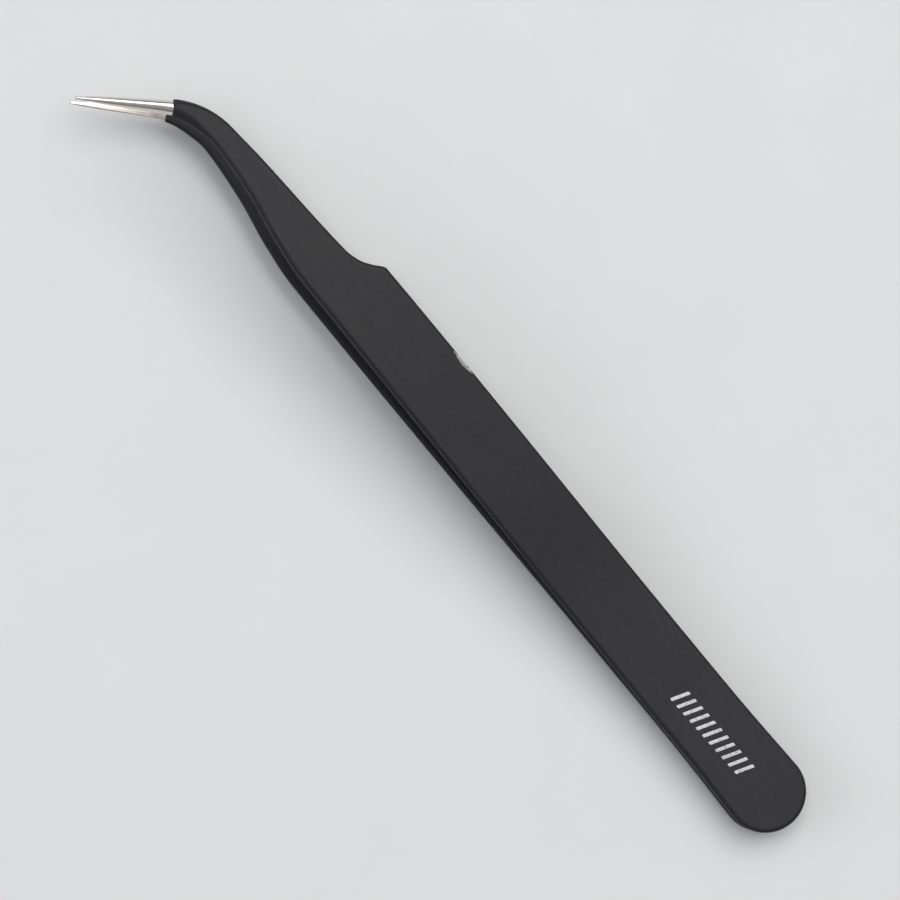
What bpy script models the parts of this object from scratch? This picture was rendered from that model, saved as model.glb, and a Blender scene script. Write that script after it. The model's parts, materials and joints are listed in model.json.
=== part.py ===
"""Curved-tip tweezers with a black static-dissipative coating and bare steel points.

Two spring-steel leaves are spot-welded on either side of a short steel spacer. The coating is one skin round
the welded tail and one sleeve round each arm, and stops short of the points. The tool lies on one arm, as on
a bench: the end of the tail and the belly of the lower arm touch z = 0.

Tool frame: x runs from the end of the tail to the points, y to the left of that, z from the lower arm to the
upper one, and z = 0 is the plane in which the two arms meet. The lower arm is the upper one mirrored in it.
"""

import math

import bmesh
import bpy
from mathutils import Matrix, Vector

MM = 0.001

# Plan of one steel leaf, seen along z.
TAIL_RADIUS = 4.7 * MM        # the tail ends in a half circle
GRIP_HALF_WIDTH = 4.15 * MM   # where the handle meets the shoulder step
SHOULDER_AT = 82.1 * MM       # the step is cut into the right-hand edge only
SHANK_AT = 86.8 * MM
BEND_CORNER_AT = 110.0 * MM   # where the straight lines of handle and points cross
BEND_RADIUS = 10 * MM
BEND_ANGLE = math.radians(45.3)
POINT_REACH = 15.5 * MM       # from that crossing to the very point
BARE_POINT = 11.5 * MM        # steel left uncoated, along the points
POINT_SLIM = 4 * MM           # the last stretch, where the leaf is thin and the inner faces run level
GRIND_RUN_IN = 3 * MM         # the half-round grinding starts this far behind the bare steel
POINT_HALF_WIDTH = 0.17 * MM

# Side view of the upper leaf, seen along y.
TAIL_GAP = 0.65 * MM          # from the middle plane to the leaf's inner face, at the welded tail
BELLY_GAP = 4.9 * MM
POINT_GAP = 4.0 * MM
TAIL_THICKNESS = 1.2 * MM
SPRING_THICKNESS = 0.95 * MM
SHANK_THICKNESS = 1.4 * MM
POINT_THICKNESS = 0.36 * MM

# Tail, coating and fits.
TAIL_LENGTH = 20.3 * MM       # welded length, and where each arm starts to bend
FLEX_AT = 20.5 * MM           # the arm's joint, in the middle of the gap between the tail and the arm
ARM_START = 20.7 * MM
SPACER_THICKNESS = 1.2 * MM
WELD_RADIUS = 1.4 * MM
WELD_DEPTH = 0.6 * MM         # how far a nugget reaches into each leaf
WELDS_AT = (6.5 * MM, 14 * MM)
WELD_CLEARANCE = 0.03 * MM
COAT = 0.2 * MM
COAT_CLEARANCE = 0.02 * MM
EDGE_RADIUS = 0.3 * MM        # of the leaf's long edges

# Fineness of the mesh.
CORNER_STEPS = 2
TAIL_ARC_STEPS = 7
TAIL_ARC_START = 0.35         # where the first section lies, as a share of the first step
STATION_STEP = 5 * MM
FINE_STEP = 1.2 * MM
WELD_SIDES = 24
SHARP_EDGE = math.radians(35)


def smooth_curve(keys):
    """A function through (position, value) keys that is smooth and never overshoots a key."""
    xs = [k[0] for k in keys]
    ys = [k[1] for k in keys]
    chords = [(ys[i + 1] - ys[i]) / (xs[i + 1] - xs[i]) for i in range(len(xs) - 1)]
    slopes = [chords[0]]
    for before, after in zip(chords, chords[1:]):
        same_way = before * after > 0
        slopes.append(2 * before * after / (before + after) if same_way else 0.0)
    slopes.append(chords[-1])

    def value(x):
        if x <= xs[0]:
            return ys[0]
        if x >= xs[-1]:
            return ys[-1]
        i = max(j for j in range(len(xs) - 1) if xs[j] <= x)
        width = xs[i + 1] - xs[i]
        t = (x - xs[i]) / width
        return (
            ys[i] * (1 + 2 * t) * (1 - t) ** 2
            + ys[i + 1] * t * t * (3 - 2 * t)
            + width * t * (1 - t) * (slopes[i] * (1 - t) - slopes[i + 1] * t)
        )

    return value


# The spine is the line that each leaf follows in plan: straight, an arc, and straight again to the points.
BEND_TANGENT = BEND_RADIUS * math.tan(BEND_ANGLE / 2)
BEND_START = BEND_CORNER_AT - BEND_TANGENT
BEND_END = BEND_START + BEND_RADIUS * BEND_ANGLE
SPINE_LENGTH = BEND_END + POINT_REACH - BEND_TANGENT
COAT_END = SPINE_LENGTH - BARE_POINT


def spine(u):
    """(x, y, heading) at the distance u along the spine."""
    if u <= BEND_START:
        return u, 0.0, 0.0
    turned = min((u - BEND_START) / BEND_RADIUS, BEND_ANGLE)
    x = BEND_START + BEND_RADIUS * math.sin(turned)
    y = BEND_RADIUS * (1 - math.cos(turned))
    past = max(u - BEND_END, 0.0)
    return x + past * math.cos(BEND_ANGLE), y + past * math.sin(BEND_ANGLE), turned


# Distances from the spine to the steel's two long edges. The left edge is hollowed towards the points, and the
# right edge has the shoulder step.
left_edge = smooth_curve([
    (TAIL_RADIUS, TAIL_RADIUS),
    (16 * MM, 4.45 * MM),
    (50 * MM, 4.36 * MM),
    (SHOULDER_AT, GRIP_HALF_WIDTH),
    (87.5 * MM, 4.1 * MM),
    (93 * MM, 3.5 * MM),
    (99 * MM, 2.4 * MM),
    (105 * MM, 1.8 * MM),
    (109.5 * MM, 1.65 * MM),
    (COAT_END, 1.02 * MM),
    (SPINE_LENGTH - POINT_SLIM, 0.5 * MM),
    (SPINE_LENGTH, POINT_HALF_WIDTH),
])
right_edge = smooth_curve([
    (TAIL_RADIUS, TAIL_RADIUS),
    (16 * MM, 4.45 * MM),
    (50 * MM, 4.36 * MM),
    (SHOULDER_AT, GRIP_HALF_WIDTH),
    (83.3 * MM, 3.28 * MM),
    (84.8 * MM, 2.32 * MM),
    (SHANK_AT, 1.78 * MM),
    (102 * MM, 1.01 * MM),
    (107 * MM, 0.7 * MM),
    (COAT_END, 0.7 * MM),
    (SPINE_LENGTH - POINT_SLIM, 0.47 * MM),
    (SPINE_LENGTH, POINT_HALF_WIDTH),
])
inner_gap = smooth_curve([
    (TAIL_LENGTH, TAIL_GAP),
    (36 * MM, 1.5 * MM),
    (56 * MM, 3.4 * MM),
    (84 * MM, BELLY_GAP),
    (98 * MM, BELLY_GAP),
    (110 * MM, 4.5 * MM),
    (SPINE_LENGTH - POINT_SLIM, POINT_GAP),
    (SPINE_LENGTH, POINT_GAP),
])
thickness = smooth_curve([
    (TAIL_LENGTH, TAIL_THICKNESS),
    (38 * MM, SPRING_THICKNESS),
    (72 * MM, 1.2 * MM),
    (94 * MM, SHANK_THICKNESS),
    (COAT_END - GRIND_RUN_IN, SHANK_THICKNESS),
    (SPINE_LENGTH, POINT_THICKNESS),
])


def edge_distance(edge, u, grow):
    """The distance from the spine to an edge that is grown outwards, round the half circle of the tail too."""
    radius = TAIL_RADIUS + grow
    if u >= TAIL_RADIUS:
        return edge(u) + grow
    return math.sqrt(max(radius**2 - (TAIL_RADIUS - u) ** 2, 0.0))


def ring(u, grow, low, high, low_radius, high_radius):
    """The rounded outline of a section across the spine, grown outwards in plan, from height low to high."""
    x, y, heading = spine(u)
    across = Vector((-math.sin(heading), math.cos(heading), 0))
    centre = Vector((x, y, 0))
    left = edge_distance(left_edge, u, grow)
    right = edge_distance(right_edge, u, grow)
    most = 0.49 * min(left + right, high - low)
    corners = (
        (left, high, -1, -1, high_radius, 0),
        (-right, high, 1, -1, high_radius, 1),
        (-right, low, 1, 1, low_radius, 2),
        (left, low, -1, 1, low_radius, 3),
    )
    points = []
    for side, height, inward, up, radius, quarter in corners:
        radius = min(radius, most)
        hub_side = side + inward * radius
        hub_height = height + up * radius
        for step in range(CORNER_STEPS + 1):
            angle = math.pi / 2 * (quarter + step / CORNER_STEPS)
            offset = hub_side + radius * math.cos(angle)
            rise = hub_height + radius * math.sin(angle)
            points.append(centre + across * offset + Vector((0, 0, rise)))
    return points


def arm_ring(u, grow, side):
    """A section of one arm: the steel leaf, or its sleeve when grown. side is 1 for the upper arm, -1 the lower."""
    low = inner_gap(u) - grow
    high = inner_gap(u) + thickness(u) + grow
    share = max(u - COAT_END + GRIND_RUN_IN, 0.0) / (BARE_POINT + GRIND_RUN_IN)
    high_radius = EDGE_RADIUS + share * thickness(u) + grow   # the points are ground half round outside
    points = ring(u, grow, low, high, EDGE_RADIUS / 2 + grow, high_radius)
    return [Vector((p.x, p.y, side * p.z)) for p in points]


def tail_stations(grow, end):
    """Distances from the tail's end, closer together round its half circle, up to end."""
    radius = TAIL_RADIUS + grow
    arc = [
        TAIL_RADIUS - radius * math.cos(math.pi / 2 * (i + TAIL_ARC_START) / TAIL_ARC_STEPS)
        for i in range(TAIL_ARC_STEPS)
    ]
    return arc + even_stations(TAIL_RADIUS, end, STATION_STEP)


def even_stations(start, end, step):
    count = max(1, round((end - start) / step))
    return [start + (end - start) * i / count for i in range(count + 1)]


def arm_stations(end):
    """Distances along an arm, closer together at the shoulder step and in the bend."""
    stretches = (
        (ARM_START, SHOULDER_AT, STATION_STEP),
        (SHOULDER_AT, SHANK_AT, FINE_STEP / 2),
        (SHANK_AT, BEND_START, 2 * FINE_STEP),
        (BEND_START, COAT_END, FINE_STEP),
        (COAT_END, SPINE_LENGTH, 2 * FINE_STEP),
    )
    stations = []
    for start, stop, step in stretches:
        if start < end:
            stations += even_stations(start, stop, step)[1 if stations else 0:]
    return stations


def skin(bm, rings):
    """Quads between each ring of points and the next. Returns the rings of vertices."""
    made = [[bm.verts.new(p) for p in points] for points in rings]
    for one, two in zip(made, made[1:]):
        for i in range(len(one)):
            j = (i + 1) % len(one)
            bm.faces.new((one[i], one[j], two[j], two[i]))
    return made


def finish(name, bm, material, hinge):
    """The closed mesh as an object whose origin is its hinge point, parented there."""
    bmesh.ops.recalc_face_normals(bm, faces=bm.faces)
    bmesh.ops.triangulate(bm, faces=[f for f in bm.faces if len(f.verts) > 4])
    mesh = bpy.data.meshes.new(name)
    bm.to_mesh(mesh)
    bm.free()
    mesh.transform(Matrix.Translation(-hinge.location))
    mesh.shade_smooth()
    mesh.set_sharp_from_angle(angle=SHARP_EDGE)
    mesh.materials.append(material)
    made = bpy.data.objects.new(name, mesh)
    bpy.context.scene.collection.objects.link(made)
    made.parent = hinge
    return made


def solid_loft(name, rings, material, hinge):
    bm = bmesh.new()
    made = skin(bm, rings)
    bm.faces.new(made[0])
    bm.faces.new(made[-1])
    return finish(name, bm, material, hinge)


def sleeve(name, outer, inner, material, hinge, closed_start=False):
    """A wall between outer and inner rings, open at the end, and open or closed at the start."""
    bm = bmesh.new()
    outside = skin(bm, outer)
    inside = skin(bm, inner)
    ends = [(outside[-1], inside[-1])] if closed_start else [(outside[-1], inside[-1]), (outside[0], inside[0])]
    for one, two in ends:
        for i in range(len(one)):
            j = (i + 1) % len(one)
            bm.faces.new((one[i], one[j], two[j], two[i]))
    if closed_start:
        bm.faces.new(outside[0])
        bm.faces.new(inside[0])
    return finish(name, bm, material, hinge)


def plug(name, at, radius, half_height, material, hinge):
    """A closed round plug through the middle plane of the tail."""
    bm = bmesh.new()
    bmesh.ops.create_cone(
        bm,
        cap_ends=True,
        segments=WELD_SIDES,
        radius1=radius,
        radius2=radius,
        depth=2 * half_height,
        matrix=Matrix.Translation((at, 0, 0)),
    )
    return finish(name, bm, material, hinge)


def cut_weld_seats(target, cutters):
    for cutter in cutters:
        cut = target.modifiers.new(cutter.name, "BOOLEAN")
        cut.operation = "DIFFERENCE"
        cut.solver = "EXACT"
        cut.object = cutter


def material(name, color, roughness, metallic):
    made = bpy.data.materials.new(name)
    made.use_nodes = True
    shader = made.node_tree.nodes["Principled BSDF"]
    shader.inputs["Base Color"].default_value = (*color, 1)
    shader.inputs["Roughness"].default_value = roughness
    shader.inputs["Metallic"].default_value = metallic
    return made


def empty(name, parent=None, location=(0, 0, 0)):
    made = bpy.data.objects.new(name, None)
    bpy.context.scene.collection.objects.link(made)
    made.parent = parent
    made.location = location
    return made


def make_tail(tail, steel, weld_steel, coating):
    """What is welded together and moves as one: two leaf ends, the spacer, the nuggets and the coat over all."""
    stations = tail_stations(0, TAIL_LENGTH)
    seats = []
    for number, at in enumerate(WELDS_AT, start=1):
        depth = TAIL_GAP + WELD_DEPTH
        plug(f"spot_weld_{number}", at, WELD_RADIUS, depth, weld_steel, tail)
        seat = plug(
            f"weld_seat_{number}", at, WELD_RADIUS + WELD_CLEARANCE, depth + WELD_CLEARANCE, weld_steel, tail
        )
        seat.hide_render = True
        seat.display_type = "WIRE"
        seats.append(seat)
    for name, side in (("upper_leaf_tail", 1), ("lower_leaf_tail", -1)):
        leaf_end = solid_loft(name, [arm_ring(u, 0, side) for u in stations], steel, tail)
        cut_weld_seats(leaf_end, seats)

    half = SPACER_THICKNESS / 2
    spacer_rings = [ring(u, 0, -half, half, EDGE_RADIUS / 2, EDGE_RADIUS / 2) for u in stations]
    spacer = solid_loft("tail_spacer", spacer_rings, steel, tail)
    cut_weld_seats(spacer, seats)

    stack = TAIL_GAP + TAIL_THICKNESS
    outer_grow = COAT_CLEARANCE + COAT
    wall = [
        [
            ring(u, grow, -stack - grow, stack + grow, EDGE_RADIUS + grow, EDGE_RADIUS + grow)
            for u in tail_stations(grow, TAIL_LENGTH)
        ]
        for grow in (outer_grow, COAT_CLEARANCE)
    ]
    sleeve("tail_coating", *wall, coating, tail, closed_start=True)


def make_arm(prefix, side, hinge, steel, coating):
    """One sprung arm: its steel leaf out to the point, and the sleeve of coating that stops short of it."""
    leaf_rings = [arm_ring(u, 0, side) for u in arm_stations(SPINE_LENGTH)]
    solid_loft(f"{prefix}_leaf", leaf_rings, steel, hinge)
    outer, inner = (
        [arm_ring(u, grow, side) for u in arm_stations(COAT_END)]
        for grow in (COAT_CLEARANCE + COAT, COAT_CLEARANCE)
    )
    sleeve(f"{prefix}_coating", outer, inner, coating, hinge)


def resting_pitch():
    """How far the points rise when the tail's end and the lower arm's belly both touch the bench."""
    stations = arm_stations(SPINE_LENGTH)
    deepest_tail = inner_gap(0) + thickness(0)
    return max(math.atan2(inner_gap(u) + thickness(u) - deepest_tail, spine(u)[0]) for u in stations)


def stand_on_bench(tool):
    """Pitch the tool as it rests, and bring the middle of its box's underside to the origin."""
    tool.rotation_euler = (0, -resting_pitch(), 0)
    bpy.context.view_layer.update()
    shown = [o for o in bpy.context.scene.objects if o.type == "MESH" and not o.hide_render]
    corners = [o.matrix_world @ v.co for o in shown for v in o.data.vertices]
    low = Vector([min(c[i] for c in corners) for i in range(3)])
    high = Vector([max(c[i] for c in corners) for i in range(3)])
    tool.location = (-(low.x + high.x) / 2, -(low.y + high.y) / 2, -low.z)
    bpy.context.view_layer.update()


def main():
    for old in list(bpy.data.objects):
        bpy.data.objects.remove(old)

    steel = material("bare_steel", (0.56, 0.53, 0.50), 0.28, 1.0)
    weld_steel = material("weld_steel", (0.38, 0.36, 0.34), 0.5, 1.0)
    coating = material("black_coating", (0.035, 0.033, 0.037), 0.45, 0.0)

    tool = empty("tweezers")
    tail = empty("tail", tool)
    make_tail(tail, steel, weld_steel, coating)
    flex_height = inner_gap(FLEX_AT) + thickness(FLEX_AT) / 2
    for prefix, side in (("upper", 1), ("lower", -1)):
        hinge = empty(f"{prefix}_arm_flex", tool, (FLEX_AT, 0, side * flex_height))
        make_arm(prefix, side, hinge, steel, coating)
    stand_on_bench(tool)


main()
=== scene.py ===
"""The looks of the curved-tip tweezers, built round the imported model.

Each arm is shown as it really is: one springy steel leaf in one black coating, from the tail to the point,
which bends between the welded tail and the stiff front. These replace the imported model's rigid halves.

Tool frame: x runs from the end of the tail to the points, y to the left of that, z from the lower arm to the
upper one, and z = 0 is the plane in which the two arms meet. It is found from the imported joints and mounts.
"""

import json
import math

import bmesh
import bpy
from mathutils import Matrix, Vector, noise
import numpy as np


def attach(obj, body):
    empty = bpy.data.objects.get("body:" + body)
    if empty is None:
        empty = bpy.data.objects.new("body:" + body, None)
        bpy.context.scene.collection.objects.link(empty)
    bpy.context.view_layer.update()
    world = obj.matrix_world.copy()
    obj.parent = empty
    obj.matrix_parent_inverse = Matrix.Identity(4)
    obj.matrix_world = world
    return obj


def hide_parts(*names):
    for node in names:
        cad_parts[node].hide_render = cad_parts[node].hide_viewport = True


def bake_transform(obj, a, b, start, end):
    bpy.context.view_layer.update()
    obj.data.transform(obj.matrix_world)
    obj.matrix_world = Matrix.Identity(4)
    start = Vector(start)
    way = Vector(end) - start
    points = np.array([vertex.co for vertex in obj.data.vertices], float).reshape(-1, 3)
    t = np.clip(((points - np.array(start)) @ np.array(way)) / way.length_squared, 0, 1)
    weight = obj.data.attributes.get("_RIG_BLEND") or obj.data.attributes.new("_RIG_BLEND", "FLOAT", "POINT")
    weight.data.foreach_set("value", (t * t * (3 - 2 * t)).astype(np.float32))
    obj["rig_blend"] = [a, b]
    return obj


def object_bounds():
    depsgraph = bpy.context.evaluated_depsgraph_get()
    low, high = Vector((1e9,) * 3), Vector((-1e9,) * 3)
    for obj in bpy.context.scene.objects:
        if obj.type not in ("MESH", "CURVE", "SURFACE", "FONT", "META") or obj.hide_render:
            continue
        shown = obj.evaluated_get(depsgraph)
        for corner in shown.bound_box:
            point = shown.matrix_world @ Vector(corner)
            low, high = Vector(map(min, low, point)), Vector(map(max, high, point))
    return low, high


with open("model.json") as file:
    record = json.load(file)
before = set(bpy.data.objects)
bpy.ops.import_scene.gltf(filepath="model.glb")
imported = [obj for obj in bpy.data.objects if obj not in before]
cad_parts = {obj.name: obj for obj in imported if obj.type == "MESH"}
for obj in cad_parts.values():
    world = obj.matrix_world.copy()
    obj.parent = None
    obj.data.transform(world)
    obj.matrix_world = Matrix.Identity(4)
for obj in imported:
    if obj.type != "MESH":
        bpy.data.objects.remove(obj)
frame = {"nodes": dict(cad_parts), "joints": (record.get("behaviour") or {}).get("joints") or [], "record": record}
CAD_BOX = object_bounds()

MM = 0.001

# The design's own dimensions.
TAIL_RADIUS = 4.7 * MM
GRIP_HALF_WIDTH = 4.15 * MM
SHOULDER_AT = 82.1 * MM
SHANK_AT = 86.8 * MM
BEND_CORNER_AT = 110.0 * MM
BEND_RADIUS = 10 * MM
BEND_ANGLE = math.radians(45.3)
POINT_REACH = 15.5 * MM
BARE_POINT = 11.5 * MM
POINT_SLIM = 4 * MM
GRIND_RUN_IN = 3 * MM
POINT_HALF_WIDTH = 0.17 * MM
TAIL_GAP = 0.65 * MM
BELLY_GAP = 4.9 * MM
POINT_GAP = 4.0 * MM
TAIL_THICKNESS = 1.2 * MM
SPRING_THICKNESS = 0.95 * MM
SHANK_THICKNESS = 1.4 * MM
POINT_THICKNESS = 0.36 * MM
TAIL_LENGTH = 20.3 * MM
FLEX_AT = 20.5 * MM           # the joint line at the end of the welded tail
ARM_START = 20.7 * MM
SPACER_HALF = 0.6 * MM
COAT_INNER = 0.02 * MM        # the coating's inner and outer skin, measured from the steel
COAT_OUTER = 0.22 * MM

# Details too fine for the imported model.
STEEL_EDGE = 0.3 * MM
TAIL_SEAM_EDGE = 0.1 * MM     # rounding of the coating along the seams between leaf and spacer
SPACER_RECESS = 0.05 * MM     # how far the spacer's coating lies behind the leaves' coating
LIP_TAPER = 0.45 * MM         # the coating thins out over this length before the bare point
LIP_RAGGED = 0.07 * MM
BEND_SETTLED_AT = 62 * MM     # in front of this an arm moves as one stiff piece
CORNER_STEPS = 8
PRINT_AT = 14.4 * MM          # the middle of the printed band
PRINT_OFFSET = 0.5 * MM
PRINT_LENGTH = 11.7 * MM
PRINT_STROKES = 11
PRINT_HALF_HEIGHT = 1.15 * MM
PRINT_HALF_STROKE = 0.22 * MM
PRINT_LEAN = 0.36
PRINT_ASKEW = 0.03
PRINT_CORNER = 0.1 * MM
PRINT_LAYERS = ((1.0, 0.004 * MM), (1.0, 0.014 * MM), (0.97, 0.02 * MM))    # (size, height above the coating)
SPACER_CLEARANCE = 0.012 * MM
SPACER_EDGE = 0.06 * MM
LIP_OUTER = 0.09 * MM         # the coating's outer skin at its very edge, measured from the steel
RAGGED_RUN = 1.2 * MM
RAGGED_PITCH = 1.7            # the noise of the lip's wander, and how much finer its small waves are
RAGGED_FINER = 3.1
NOSE_LENGTH = 0.16 * MM       # the rounded end of each point
MERGE_DISTANCE = 0.0002 * MM
SHORTEST_EDGE = 0.0001 * MM

# Shares used in the section of an arm.
FLAT_SHARES = (0.02, 0.1, 0.3, 0.5, 0.7, 0.9, 0.98)
SEAM_GROW = 0.18              # how much of the coating lies between leaf and spacer
ROUND_WIDTH = 0.97            # how much of the half width and the thickness the half-round grind takes in
ROUND_HEIGHT = 0.86
INNER_ROUND_LIMITS = (0.4, 0.5)    # the inner edge's rounding against the thickness and the half width

# The scrape along the right-hand edge, down to the steel.
CHIP_AT = 67.8 * MM
CHIP_HALF_LENGTH = 1.9 * MM
CHIP_HALF_WIDTH = 0.42 * MM
CHIP_GRAINS = ((2200, 0.3), (700, 0.35))    # the noise of its outline, as (pitch per metre, share)
CHIP_RAMP = 0.35
CHIP_SINK = 0.8               # how far its floor sinks from the coating's outer skin to the inner one
CHIP_REACH = 1.4              # no scraping beyond this many half lengths
CHIP_FINE_RUN = 4.4 * MM      # the mesh is fine this far to both sides of it

# Colours.
BARE_STEEL = (0.62, 0.585, 0.555)
POINT_STEEL_DARK = (0.68, 0.63, 0.59)
POINT_STEEL_LIGHT = (0.8, 0.755, 0.715)
COAT_DARK = (0.0125, 0.0114, 0.0138)
COAT_LIGHT = (0.0185, 0.0169, 0.0202)
# painted shade: a darker colour for the coating's upright sides, standing in for the shade they fall in
COAT_PAINTED_SIDE_SHADE = (0.0105, 0.0096, 0.0108)
INK_THIN = (0.42, 0.42, 0.45)
INK_FULL = (0.74, 0.74, 0.78)
FLOOR_DARK = (0.76, 0.765, 0.77)
FLOOR_LIGHT = (0.79, 0.795, 0.8)

# Studio and camera, in the row frame.
CAMERA_STATION = (21, 70, 650)    # in millimetres
PICTURE_UP = (0.7644, -0.6448, 0)
CAMERA_LENS = 218
CAMERA_SENSOR = 36
HORIZON_GLOW = 0.14
ZENITH_GLOW = 0.45
FLOOR_DROP = 0.01 * MM


def smooth_curve(keys):
    """A function through (position, value) keys that is smooth and never overshoots a key."""
    xs = [k[0] for k in keys]
    ys = [k[1] for k in keys]
    chords = [(ys[i + 1] - ys[i]) / (xs[i + 1] - xs[i]) for i in range(len(xs) - 1)]
    slopes = [chords[0]]
    for before, after in zip(chords, chords[1:]):
        same_way = before * after > 0
        slopes.append(2 * before * after / (before + after) if same_way else 0.0)
    slopes.append(chords[-1])

    def value(x):
        if x <= xs[0]:
            return ys[0]
        if x >= xs[-1]:
            return ys[-1]
        i = max(j for j in range(len(xs) - 1) if xs[j] <= x)
        width = xs[i + 1] - xs[i]
        t = (x - xs[i]) / width
        return (
            ys[i] * (1 + 2 * t) * (1 - t) ** 2
            + ys[i + 1] * t * t * (3 - 2 * t)
            + width * t * (1 - t) * (slopes[i] * (1 - t) - slopes[i + 1] * t)
        )

    return value


def smoothstep(start, end, x):
    """0 up to start and 1 from end on, with a smooth rise between."""
    t = min(max((x - start) / (end - start), 0.0), 1.0)
    return t * t * (3 - 2 * t)


def mix(a, b, share):
    return a + (b - a) * share


# The spine is the line that each leaf follows in plan: straight, an arc, and straight again to the points.
BEND_TANGENT = BEND_RADIUS * math.tan(BEND_ANGLE / 2)
BEND_START = BEND_CORNER_AT - BEND_TANGENT
BEND_END = BEND_START + BEND_RADIUS * BEND_ANGLE
SPINE_LENGTH = BEND_END + POINT_REACH - BEND_TANGENT
COAT_END = SPINE_LENGTH - BARE_POINT
ROUNDING_START = COAT_END - 7 * MM
ROUNDING_END = COAT_END + 2 * MM


def spine(u):
    """(x, y, heading) at the distance u along the spine."""
    if u <= BEND_START:
        return u, 0.0, 0.0
    turned = min((u - BEND_START) / BEND_RADIUS, BEND_ANGLE)
    x = BEND_START + BEND_RADIUS * math.sin(turned)
    y = BEND_RADIUS * (1 - math.cos(turned))
    past = max(u - BEND_END, 0.0)
    return x + past * math.cos(BEND_ANGLE), y + past * math.sin(BEND_ANGLE), turned


left_edge = smooth_curve([
    (TAIL_RADIUS, TAIL_RADIUS),
    (16 * MM, 4.45 * MM),
    (50 * MM, 4.36 * MM),
    (SHOULDER_AT, GRIP_HALF_WIDTH),
    (87.5 * MM, 4.1 * MM),
    (93 * MM, 3.5 * MM),
    (99 * MM, 2.4 * MM),
    (105 * MM, 1.8 * MM),
    (109.5 * MM, 1.65 * MM),
    (COAT_END, 1.02 * MM),
    (SPINE_LENGTH - POINT_SLIM, 0.5 * MM),
    (SPINE_LENGTH, POINT_HALF_WIDTH),
])
right_edge = smooth_curve([
    (TAIL_RADIUS, TAIL_RADIUS),
    (16 * MM, 4.45 * MM),
    (50 * MM, 4.36 * MM),
    (SHOULDER_AT, GRIP_HALF_WIDTH),
    (83.3 * MM, 3.28 * MM),
    (84.8 * MM, 2.32 * MM),
    (SHANK_AT, 1.78 * MM),
    (102 * MM, 1.01 * MM),
    (107 * MM, 0.7 * MM),
    (COAT_END, 0.7 * MM),
    (SPINE_LENGTH - POINT_SLIM, 0.47 * MM),
    (SPINE_LENGTH, POINT_HALF_WIDTH),
])
inner_gap = smooth_curve([
    (TAIL_LENGTH, TAIL_GAP),
    (36 * MM, 1.5 * MM),
    (56 * MM, 3.4 * MM),
    (84 * MM, BELLY_GAP),
    (98 * MM, BELLY_GAP),
    (110 * MM, 4.5 * MM),
    (SPINE_LENGTH - POINT_SLIM, POINT_GAP),
    (SPINE_LENGTH, POINT_GAP),
])
thickness = smooth_curve([
    (TAIL_LENGTH, TAIL_THICKNESS),
    (38 * MM, SPRING_THICKNESS),
    (72 * MM, 1.2 * MM),
    (94 * MM, SHANK_THICKNESS),
    (COAT_END - GRIND_RUN_IN, SHANK_THICKNESS),
    (SPINE_LENGTH, POINT_THICKNESS),
])


def tool_matrix():
    """Where the tool frame lies in the row frame."""
    mounts = {m["name"]: m for m in frame["record"]["mounts"]}
    up = Vector(mounts["tail_upper_face"]["axis"]).normalized()
    left = Vector((0, 1, 0))
    ahead = left.cross(up)
    pivots = [Vector(j["pos_m"]) for j in frame["joints"]]
    origin = sum(pivots, Vector()) / len(pivots) - ahead * FLEX_AT
    turn = Matrix((ahead, left, up)).transposed().to_4x4()
    return Matrix.Translation(origin) @ turn


TOOL = tool_matrix()


def tool_point(u, offset, height):
    """The row-frame point at a distance along the spine, an offset to its left and a height."""
    x, y, heading = spine(u)
    return TOOL @ Vector((x - math.sin(heading) * offset, y + math.cos(heading) * offset, height))


# A station is (kind, value): an angle round the tail's half circle, or a distance along the spine.
def run_stations(start, end, step):
    """Evenly spaced stations along the spine, both ends included."""
    count = max(1, round((end - start) / step))
    return [("run", start + (end - start) * i / count) for i in range(count + 1)]


def joined_stations(*stretches):
    """The stations of stretches that follow on from each other, each given as (start, end, step)."""
    stations = []
    for start, end, step in stretches:
        stations += run_stations(start, end, step)[1 if stations else 0:]
    return stations


def tail_arc(steps=26):
    """The stations round the tail, from its end to where its straight sides begin."""
    return [("arc", math.pi / 2 * i / steps) for i in range(steps)]


def outline_point(station, side, outward):
    """(u, offset) on the plan outline of the steel, moved outwards square to it."""
    kind, value = station
    if kind == "arc":
        radius = TAIL_RADIUS + outward
        return TAIL_RADIUS - radius * math.cos(value), side * radius * math.sin(value)
    edge = left_edge if side > 0 else right_edge
    reach = 0.02 * MM
    slope = (edge(value + reach) - edge(value - reach)) / (2 * reach)
    if value < TAIL_RADIUS + reach:
        slope = 0.0
    long = math.hypot(1, slope)
    return value - outward * slope / long, side * (edge(value) + outward / long)


def nominal(station):
    """The station's distance along the spine."""
    kind, value = station
    return value if kind == "run" else TAIL_RADIUS * (1 - math.cos(value))


def roundness(u):
    """0 where the leaf is flat on its outside, 1 where it is ground half round."""
    return smoothstep(ROUNDING_START, ROUNDING_END, u)


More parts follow.
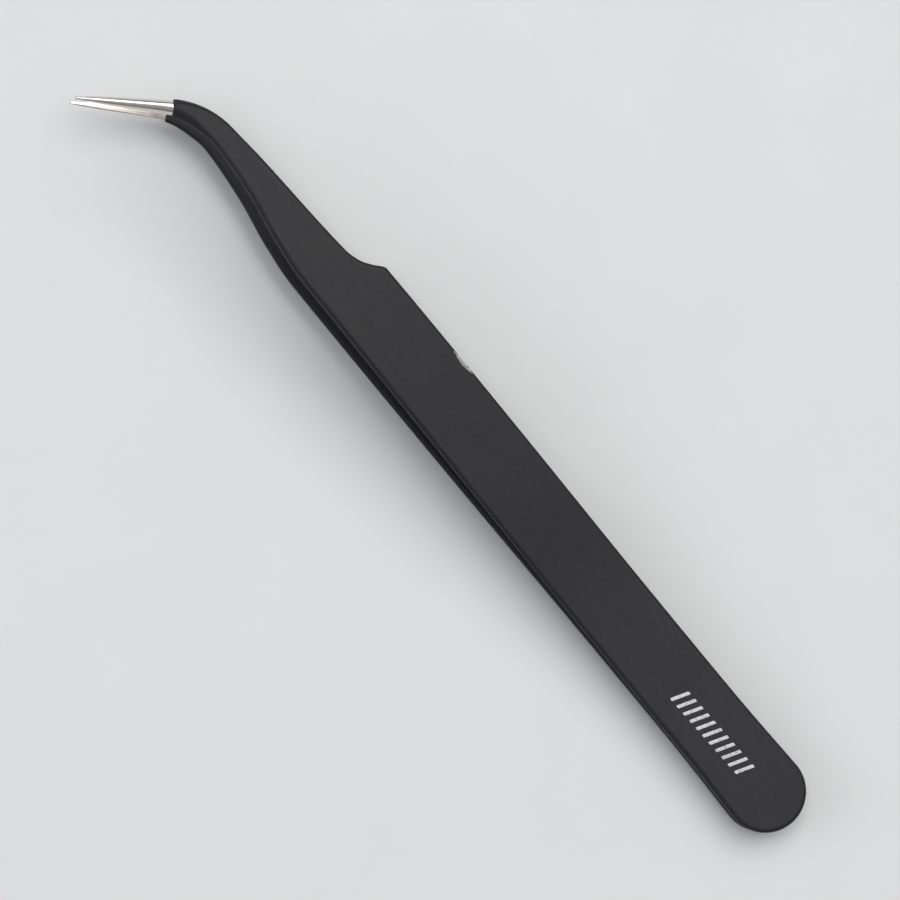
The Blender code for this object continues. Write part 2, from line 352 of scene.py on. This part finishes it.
def section(station, grow, seam=0.0, shrink=1.0):
    """One closed ring round an arm as (u, offset, height) points. seam is 1 inside the tail's sandwich."""
    u = nominal(station)
    inner_grow = mix(grow, grow * SEAM_GROW, seam)
    share = roundness(u)
    thick = thickness(u)
    widths = {1: left_edge(u), -1: right_edge(u)}
    thick_limit, width_limit = INNER_ROUND_LIMITS
    inner_round = min(0.5 * STEEL_EDGE, thick_limit * thick, width_limit * widths[-1]) + grow
    inner_round = mix(inner_round, min(TAIL_SEAM_EDGE, inner_round), seam)
    outer_tall = min(mix(STEEL_EDGE, ROUND_HEIGHT * thick, share), ROUND_HEIGHT * thick) + grow
    ring = []

    def corner_width(side, outer):
        return mix(STEEL_EDGE, ROUND_WIDTH * widths[side], share) + grow if outer else inner_round

    def corner(side, outer, forward):
        wide = corner_width(side, outer)
        tall = outer_tall if outer else inner_round
        steps = range(CORNER_STEPS + 1) if forward else range(CORNER_STEPS, -1, -1)
        for step in steps:
            angle = math.pi / 2 * step / CORNER_STEPS
            at, offset = outline_point(station, side, grow - wide * (1 - math.cos(angle)))
            drop = tall * (1 - math.sin(angle))
            if outer:
                height = inner_gap(at) + thickness(at) + grow - drop
            else:
                height = inner_gap(at) - inner_grow + drop
            ring.append((at, offset, height))

    def flat(side, outer):
        """Points across the flat, from the corner just made to the same corner on the other side."""
        start = ring[-1]
        at, offset = outline_point(station, side, grow - corner_width(side, outer))
        height = inner_gap(at) + thickness(at) + grow if outer else inner_gap(at) - inner_grow
        for along in FLAT_SHARES:
            ring.append(tuple(mix(a, b, along) for a, b in zip(start, (at, offset, height))))

    corner(1, True, True)
    flat(-1, True)
    corner(-1, True, False)
    corner(-1, False, True)
    flat(1, False)
    corner(1, False, False)
    if shrink < 1:
        middle = inner_gap(u) + thick / 2
        centre = (widths[1] - widths[-1]) / 2
        ring[:] = [(a, mix(centre, o, shrink), mix(middle, h, shrink)) for a, o, h in ring]
    return ring


def chip_depth(u, offset, height, station_u):
    """How far, from 0 to 1, the coating is scraped away at a point of the upper arm's outer skin."""
    right_rim = -(right_edge(station_u) + 0.6 * COAT_OUTER)
    rim_height = inner_gap(station_u) + thickness(station_u)
    along = (u - CHIP_AT) / CHIP_HALF_LENGTH
    across = math.hypot(offset - right_rim, height - rim_height) / CHIP_HALF_WIDTH
    place = Vector((u, offset, height))
    rough = sum(noise.noise(place * pitch) * share for pitch, share in CHIP_GRAINS)
    return smoothstep(0.0, CHIP_RAMP, 1 - along * along - across * across + rough)


def ragged(index, count):
    """The wander of the masked edge of the coating, round the section."""
    turn = 2 * math.pi * index / count
    place = Vector((math.cos(turn), math.sin(turn), 0.3)) * RAGGED_PITCH
    return noise.noise(place) + 0.5 * noise.noise(place * RAGGED_FINER)


def skin_mesh(bm, rings, side, chips=None):
    """Adds the quads between rings and returns the vertices. Each vertex keeps its place in the tool."""
    place = bm.verts.layers.float_vector["tool_place"]
    bare = bm.verts.layers.float["bare"]
    made = []
    for number, ring in enumerate(rings):
        row = []
        for index, (u, offset, height) in enumerate(ring):
            vert = bm.verts.new(tool_point(u, offset, side * height))
            vert[place] = Vector((u, offset, height))
            if chips:
                vert[bare] = chips[number][index]
            row.append(vert)
        made.append(row)
    for one, two in zip(made, made[1:]):
        for i in range(len(one)):
            j = (i + 1) % len(one)
            bm.faces.new((one[i], one[j], two[j], two[i]))
    return made


def new_bmesh():
    """An empty mesh whose vertices can hold their place in the tool and how far they are scraped bare."""
    bm = bmesh.new()
    bm.verts.layers.float_vector.new("tool_place")
    bm.verts.layers.float.new("bare")
    return bm


def finish_piece(name, bm, material, sharp_degrees=50):
    """Cleans the mesh and makes it an object with one material, smooth except at sharp edges."""
    bmesh.ops.remove_doubles(bm, verts=bm.verts, dist=MERGE_DISTANCE)
    bmesh.ops.dissolve_degenerate(bm, edges=bm.edges, dist=SHORTEST_EDGE)
    bmesh.ops.recalc_face_normals(bm, faces=bm.faces)
    mesh = bpy.data.meshes.new(name)
    bm.to_mesh(mesh)
    bm.free()
    mesh.shade_smooth()
    mesh.set_sharp_from_angle(angle=math.radians(sharp_degrees))
    mesh.materials.append(material)
    piece = bpy.data.objects.new(name, mesh)
    bpy.context.scene.collection.objects.link(piece)
    return piece


def bend_with_arm(piece, arm):
    """The piece stays with the tail behind the flexing stretch, and goes with the arm in front of it."""
    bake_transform(piece, "tail", arm, start=tool_point(FLEX_AT, 0, 0), end=tool_point(BEND_SETTLED_AT, 0, 0))


def coat_thinning(u):
    """The coating's outer skin, measured from the steel: it thins to a lip at the bare point."""
    left = max(COAT_END - u, 0.0) / LIP_TAPER
    lip = math.sqrt(1 - (1 - min(left, 1.0)) ** 2)
    return mix(LIP_OUTER, COAT_OUTER, lip)


def make_coat(prefix, side, material):
    """The black skin of one arm, one piece of real thickness from the tail to its lip at the bare point."""
    stations = tail_arc() + joined_stations(
        (TAIL_RADIUS, TAIL_LENGTH - 1 * MM, 1 * MM),
        (TAIL_LENGTH - 1 * MM, ARM_START + 1 * MM, 0.2 * MM),
        (ARM_START + 1 * MM, CHIP_AT - CHIP_FINE_RUN, 1 * MM),
        (CHIP_AT - CHIP_FINE_RUN, CHIP_AT + CHIP_FINE_RUN, 0.13 * MM),
        (CHIP_AT + CHIP_FINE_RUN, SHOULDER_AT - 2 * MM, 1 * MM),
        (SHOULDER_AT - 2 * MM, SHANK_AT + 1 * MM, 0.16 * MM),
        (SHANK_AT + 1 * MM, BEND_START, 0.6 * MM),
        (BEND_START, COAT_END - LIP_TAPER, 0.3 * MM),
        (COAT_END - LIP_TAPER, COAT_END, 0.045 * MM),
    )
    outer = []
    inner = []
    chips = []
    for station in stations:
        u = nominal(station)
        seam = 1 - smoothstep(TAIL_LENGTH - 0.2 * MM, ARM_START + 0.6 * MM, u)
        skins = [section(station, grow, seam) for grow in (coat_thinning(u), COAT_INNER)]
        wander = LIP_RAGGED * smoothstep(COAT_END - RAGGED_RUN, COAT_END, u)
        if wander > 0:
            skins = [
                [(a + wander * ragged(i, len(ring)), o, h) for i, (a, o, h) in enumerate(ring)]
                for ring in skins
            ]
        worn = [0.0] * len(skins[0])
        if side > 0 and abs(u - CHIP_AT) < CHIP_REACH * CHIP_HALF_LENGTH:
            worn = [chip_depth(*point, u) for point in skins[0]]
            skins[0] = [
                tuple(mix(a, b, CHIP_SINK * depth) for a, b in zip(point, under))
                for point, under, depth in zip(skins[0], skins[1], worn)
            ]
        outer.append(skins[0])
        inner.append(skins[1])
        chips.append(worn)
    bm = new_bmesh()
    outside = skin_mesh(bm, outer, side, chips)
    inside = skin_mesh(bm, inner, side)
    for i in range(len(outside[-1])):
        j = (i + 1) % len(outside[-1])
        bm.faces.new((outside[-1][i], outside[-1][j], inside[-1][j], inside[-1][i]))
    coat = finish_piece(f"{prefix}_coat", bm, material)
    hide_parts(f"{prefix}_coating")
    bend_with_arm(coat, f"{prefix}_arm")
    return coat


def make_leaf(prefix, side, material):
    """The steel of one arm in front of the welded tail, out to its rounded point."""
    nose_start = SPINE_LENGTH - NOSE_LENGTH
    stations = joined_stations(
        (ARM_START, SHOULDER_AT - 2 * MM, 2 * MM),
        (SHOULDER_AT - 2 * MM, SHANK_AT + 1 * MM, 0.4 * MM),
        (SHANK_AT + 1 * MM, COAT_END - 1 * MM, 0.6 * MM),
        (COAT_END - 1 * MM, nose_start, 0.2 * MM),
        (nose_start, SPINE_LENGTH - 0.004 * MM, 0.02 * MM),
    )
    rings = []
    for station in stations:
        u = nominal(station)
        past = max(u - nose_start, 0.0) / NOSE_LENGTH
        rings.append(section(station, 0.0, 0.0, math.sqrt(1 - past * past)))
    bm = new_bmesh()
    made = skin_mesh(bm, rings, side)
    bm.faces.new(made[0])
    bm.faces.new(made[-1])
    leaf = finish_piece(f"{prefix}_steel", bm, material)
    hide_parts(f"{prefix}_leaf")
    bend_with_arm(leaf, f"{prefix}_arm")
    return leaf


def tail_outline(outward):
    """A closed loop round the welded tail in plan: its half circle, two long sides and a square front."""
    front = TAIL_LENGTH + outward
    sides = [("run", mix(TAIL_RADIUS, front, i / 24)) for i in range(1, 25)]
    left = [outline_point(s, 1, outward) for s in tail_arc() + sides]
    right = [outline_point(s, -1, outward) for s in sides[::-1] + tail_arc()[:0:-1]]
    return [(min(u, front), offset) for u, offset in left + right]


def make_spacer_coat(material):
    """The black band round the spacer's edge, lying a little behind the two leaves' edges."""
    reach = COAT_OUTER - SPACER_RECESS
    top = SPACER_HALF - SPACER_CLEARANCE
    profile = [(COAT_INNER, -top)]
    for step in range(5):
        angle = math.pi / 2 * step / 4
        behind = SPACER_EDGE * (1 - math.sin(angle))
        profile.append((reach - behind, -top + SPACER_EDGE * (1 - math.cos(angle))))
    profile += [(outward, -height) for outward, height in profile[::-1]]
    bm = new_bmesh()
    rings = [[(u, offset, height) for u, offset in tail_outline(outward)] for outward, height in profile]
    skin_mesh(bm, rings + [rings[0]], 1)
    band = finish_piece("spacer_coat", bm, material, 35)
    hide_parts("tail_coating")
    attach(band, "tail")
    return band


def make_print(material):
    """A plain band of slanted strokes in white ink on the upper face of the tail, printed a little askew."""
    face = TAIL_GAP + TAIL_THICKNESS + COAT_OUTER
    bm = new_bmesh()
    for number in range(PRINT_STROKES):
        along = number / (PRINT_STROKES - 1) - 0.5
        middle = PRINT_AT + along * PRINT_LENGTH
        askew = PRINT_OFFSET + along * PRINT_LENGTH * PRINT_ASKEW
        loop = []
        for quarter, (sx, sy) in enumerate(((1, 1), (-1, 1), (-1, -1), (1, -1))):
            for step in range(5):
                angle = math.pi / 2 * (quarter + step / 4)
                across = sy * (PRINT_HALF_HEIGHT - PRINT_CORNER) + PRINT_CORNER * math.sin(angle)
                shift = sx * (PRINT_HALF_STROKE - PRINT_CORNER) + PRINT_CORNER * math.cos(angle)
                loop.append((shift + PRINT_LEAN * across, across))
        rings = [
            [(middle + a * size, askew + c * size, face + height) for a, c in loop]
            for size, height in PRINT_LAYERS
        ]
        made = skin_mesh(bm, rings, 1)
        bm.faces.new(made[0])
        bm.faces.new(made[-1])
    ink = finish_piece("tail_print", bm, material, 35)
    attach(ink, "tail")
    return ink


class Shader:
    """A small helper that adds nodes to one material and links them."""

    def __init__(self, name):
        self.material = bpy.data.materials.new(name)
        self.material.use_nodes = True
        self.tree = self.material.node_tree
        self.base = self.tree.nodes["Principled BSDF"]

    def node(self, kind, **inputs):
        """Adds a node. Inputs are named as their sockets, with _ for a space, or by number as _0, _1."""
        made = self.tree.nodes.new(kind)
        for key, value in inputs.items():
            self.put(made, key, value)
        return made

    def put(self, node, key, value):
        socket = node.inputs[int(key[1:])] if key[0] == "_" else node.inputs[key.replace("_", " ")]
        if isinstance(value, bpy.types.NodeSocket):
            self.tree.links.new(value, socket)
        else:
            socket.default_value = value

    def place(self, scale):
        """The point's place in the tool, stretched by scale. It stays with the piece when an arm bends."""
        source = self.node("ShaderNodeAttribute")
        source.attribute_name = "tool_place"
        return self.node("ShaderNodeMapping", Vector=source.outputs["Vector"], Scale=scale).outputs["Vector"]

    def object_place(self, scale):
        """The same for pieces without a stored place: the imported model's parts and the floor."""
        source = self.node("ShaderNodeTexCoord")
        return self.node("ShaderNodeMapping", Vector=source.outputs["Object"], Scale=scale).outputs["Vector"]

    def noise(self, vector, scale, detail=3.0, rough=0.55):
        made = self.node("ShaderNodeTexNoise", Vector=vector, Scale=scale, Detail=detail, Roughness=rough)
        return made.outputs["Fac"]

    def ramp(self, value, low, high, to_low=0.0, to_high=1.0):
        """Maps value from low..high to to_low..to_high, clamped."""
        made = self.node("ShaderNodeMapRange", Value=value)
        for index, number in enumerate((low, high, to_low, to_high), start=1):
            made.inputs[index].default_value = number
        return made.outputs["Result"]

    def math(self, operation, one, two):
        made = self.node("ShaderNodeMath", _0=one, _1=two)
        made.operation = operation
        return made.outputs[0]

    def colours(self, share, one, two):
        """Mixes two colours, each an RGB tuple or a socket. share is a socket: 0 gives one, 1 gives two."""
        made = self.node("ShaderNodeMix")
        made.data_type = "RGBA"
        self.put(made, "_0", share)
        self.put(made, "_6", (*one, 1) if isinstance(one, tuple) else one)
        self.put(made, "_7", (*two, 1) if isinstance(two, tuple) else two)
        return made.outputs[2]

    def bump(self, height, strength, distance, normal=None):
        made = self.node("ShaderNodeBump", Height=height, Strength=strength, Distance=distance)
        if normal is not None:
            self.put(made, "Normal", normal)
        return made.outputs["Normal"]


def coating_material():
    """Satin black epoxy: a fine pebbled skin, a little cloudy, with steel where it is scraped off, and painted
    shade darkening its upright sides.
    """
    s = Shader("black_coating")
    place = s.place((1, 1, 1))
    clouds = s.noise(place, 160, 4, 0.6)
    specks = s.noise(place, 2600, 2, 0.5)
    streaks = s.noise(s.place((0.12, 1, 1)), 1500, 3, 0.6)
    tone = s.math("ADD", s.math("MULTIPLY", clouds, 0.6), s.math("MULTIPLY", specks, 0.4))
    black = s.colours(s.ramp(tone, 0.38, 0.62), COAT_DARK, COAT_LIGHT)
    # Upright sides get a darker base colour, which is painted shade, and a rougher finish.
    facing = s.node("ShaderNodeSeparateXYZ", Vector=s.node("ShaderNodeTexCoord").outputs["Normal"])
    side_shade_and_rough = s.ramp(s.math("ABSOLUTE", facing.outputs["Z"], 0.0), 0.8, 0.3)
    black = s.colours(side_shade_and_rough, black, COAT_PAINTED_SIDE_SHADE)
    worn = s.node("ShaderNodeAttribute")
    worn.attribute_name = "bare"
    ragged_mask = s.math("ADD", worn.outputs["Fac"], s.math("MULTIPLY", s.noise(place, 5200, 2), 0.5))
    bare = s.ramp(ragged_mask, 0.66, 0.8)
    s.put(s.base, "Base Color", s.colours(bare, black, BARE_STEEL))
    s.put(s.base, "Metallic", bare)
    satin = s.math("ADD", s.ramp(clouds, 0.3, 0.7, 0.43, 0.52), s.ramp(streaks, 0.3, 0.7, -0.03, 0.04))
    rough = s.math("ADD", satin, s.math("MULTIPLY", side_shade_and_rough, 0.2))
    s.put(s.base, "Roughness", s.math("ADD", rough, s.math("MULTIPLY", bare, -0.12)))
    s.base.inputs["Specular IOR Level"].default_value = 0.33
    pebbles = s.bump(s.noise(place, 3400, 2, 0.5), 0.35, 0.02 * MM)
    s.put(s.base, "Normal", s.bump(s.noise(place, 900, 2, 0.5), 0.25, 0.03 * MM, pebbles))
    return s.material


def point_steel_material():
    """Stainless steel ground and polished to a point, with faint grinding lines along the spine."""
    s = Shader("ground_steel")
    lines = s.noise(s.place((0.006, 1, 1)), 15000, 3, 0.6)
    haze = s.noise(s.place((0.3, 1, 1)), 900, 3, 0.6)
    s.put(s.base, "Base Color", s.colours(s.ramp(lines, 0.3, 0.7), POINT_STEEL_DARK, POINT_STEEL_LIGHT))
    s.base.inputs["Metallic"].default_value = 1.0
    ground = s.ramp(lines, 0.3, 0.7, 0.14, 0.2)
    hazy = s.ramp(haze, 0.3, 0.7, -0.02, 0.04)
    s.put(s.base, "Roughness", s.math("ADD", ground, hazy))
    s.put(s.base, "Normal", s.bump(lines, 0.12, 0.003 * MM))
    return s.material


def hidden_steel_material(name, tone):
    """Rolled spring steel inside the coating, with a fine rolling grain. tone scales its colour."""
    s = Shader(name)
    grain = s.noise(s.object_place((0.03, 1, 1)), 5000, 3, 0.6)
    light = tuple(c * tone for c in BARE_STEEL)
    s.put(s.base, "Base Color", s.colours(s.ramp(grain, 0.3, 0.7), tuple(c * 0.85 for c in light), light))
    s.base.inputs["Metallic"].default_value = 1.0
    s.put(s.base, "Roughness", s.ramp(grain, 0.3, 0.7, 0.3, 0.45))
    s.put(s.base, "Normal", s.bump(grain, 0.3, 0.005 * MM))
    return s.material


def ink_material():
    """Pad-printed white ink, thin enough to show the pebbled coating under it."""
    s = Shader("white_ink")
    place = s.place((1, 1, 1))
    thin = s.ramp(s.noise(place, 3600, 3, 0.6), 0.35, 0.55)
    s.put(s.base, "Base Color", s.colours(thin, INK_THIN, INK_FULL))
    s.put(s.base, "Roughness", s.ramp(s.noise(place, 1800), 0.3, 0.7, 0.5, 0.65))
    s.put(s.base, "Normal", s.bump(s.noise(place, 3400, 2, 0.5), 0.35, 0.02 * MM))
    return s.material


def floor_material():
    """A plain pale bench top with a barely visible mottle."""
    s = Shader("pale_floor")
    mottle = s.ramp(s.noise(s.object_place((1, 1, 1)), 60, 4, 0.6), 0.3, 0.7)
    s.put(s.base, "Base Color", s.colours(mottle, FLOOR_DARK, FLOOR_LIGHT))
    s.put(s.base, "Roughness", s.ramp(mottle, 0, 1, 0.55, 0.65))
    return s.material


def make_floor():
    """The bench top, just under the tool."""
    bm = bmesh.new()
    bmesh.ops.create_grid(bm, x_segments=4, y_segments=4, size=2.0)
    mesh = bpy.data.meshes.new("floor")
    bm.to_mesh(mesh)
    bm.free()
    mesh.materials.append(floor_material())
    floor = bpy.data.objects.new("floor", mesh)
    floor.location = (0, 0, -FLOOR_DROP)
    bpy.context.scene.collection.objects.link(floor)


def make_camera():
    """A long lens nearly straight above: the tail lies at the lower right, the points at the upper left."""
    station = Vector(CAMERA_STATION) * MM
    low, high = CAD_BOX
    target = (low + high) / 2
    back = (station - target).normalized()
    right = Vector(PICTURE_UP).cross(back).normalized()
    up = back.cross(right)
    data = bpy.data.cameras.new("camera")
    data.lens = CAMERA_LENS
    data.sensor_width = CAMERA_SENSOR
    data.clip_start = 0.05
    data.clip_end = 20
    camera = bpy.data.objects.new("camera", data)
    camera.matrix_world = Matrix.Translation(station) @ Matrix((right, up, back)).transposed().to_4x4()
    bpy.context.scene.collection.objects.link(camera)
    bpy.context.scene.camera = camera


def area_light(name, location, size, power, colour):
    """A rectangular light that faces the middle of the bench."""
    data = bpy.data.lights.new(name, "AREA")
    data.shape = "RECTANGLE"
    data.size, data.size_y = size
    data.energy = power
    data.color = colour
    light = bpy.data.objects.new(name, data)
    light.location = location
    light.rotation_mode = "QUATERNION"
    light.rotation_quaternion = (-Vector(location)).to_track_quat("-Z", "Y")
    bpy.context.scene.collection.objects.link(light)


def studio_world():
    """A dim room, a little brighter overhead than at the horizon."""
    world = bpy.data.worlds.new("studio")
    world.use_nodes = True
    tree = world.node_tree
    direction = tree.nodes.new("ShaderNodeTexCoord")
    axes = tree.nodes.new("ShaderNodeSeparateXYZ")
    height = tree.nodes.new("ShaderNodeMapRange")
    tree.links.new(direction.outputs["Generated"], axes.inputs[0])
    tree.links.new(axes.outputs["Z"], height.inputs["Value"])
    for index, number in enumerate((0.0, 1.0, HORIZON_GLOW, ZENITH_GLOW), start=1):
        height.inputs[index].default_value = number
    background = tree.nodes["Background"]
    background.inputs["Color"].default_value = (0.95, 0.97, 1.0, 1)
    tree.links.new(height.outputs["Result"], background.inputs["Strength"])
    return world


def make_lights():
    """A big softbox high up on the right of the handle, a weak low fill on its left, and a dim room."""
    area_light(
        "softbox", location=(0.2, -0.47, 1.18), size=(1.3, 1.3), power=12, colour=(1.0, 0.99, 0.97)
    )
    area_light(
        "fill", location=(0.6, 0.65, 0.5), size=(0.7, 0.5), power=1.9, colour=(0.95, 0.975, 1.0)
    )
    bpy.context.scene.world = studio_world()


def main():
    """Sets the stage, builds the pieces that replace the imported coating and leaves, and paints the rest."""
    bpy.context.scene.view_settings.view_transform = "Standard"
    make_camera()
    make_lights()
    make_floor()

    coating = coating_material()
    point_steel = point_steel_material()
    for prefix, side in (("upper", 1), ("lower", -1)):
        make_coat(prefix, side, coating)
        make_leaf(prefix, side, point_steel)
    make_spacer_coat(coating)
    make_print(ink_material())

    inner_steel = hidden_steel_material("rolled_steel", 1.0)
    weld_steel = hidden_steel_material("weld_steel", 0.7)
    for name, node in frame["nodes"].items():
        node.data.materials.clear()
        node.data.materials.append(weld_steel if name.startswith("spot_weld") else inner_steel)


main()
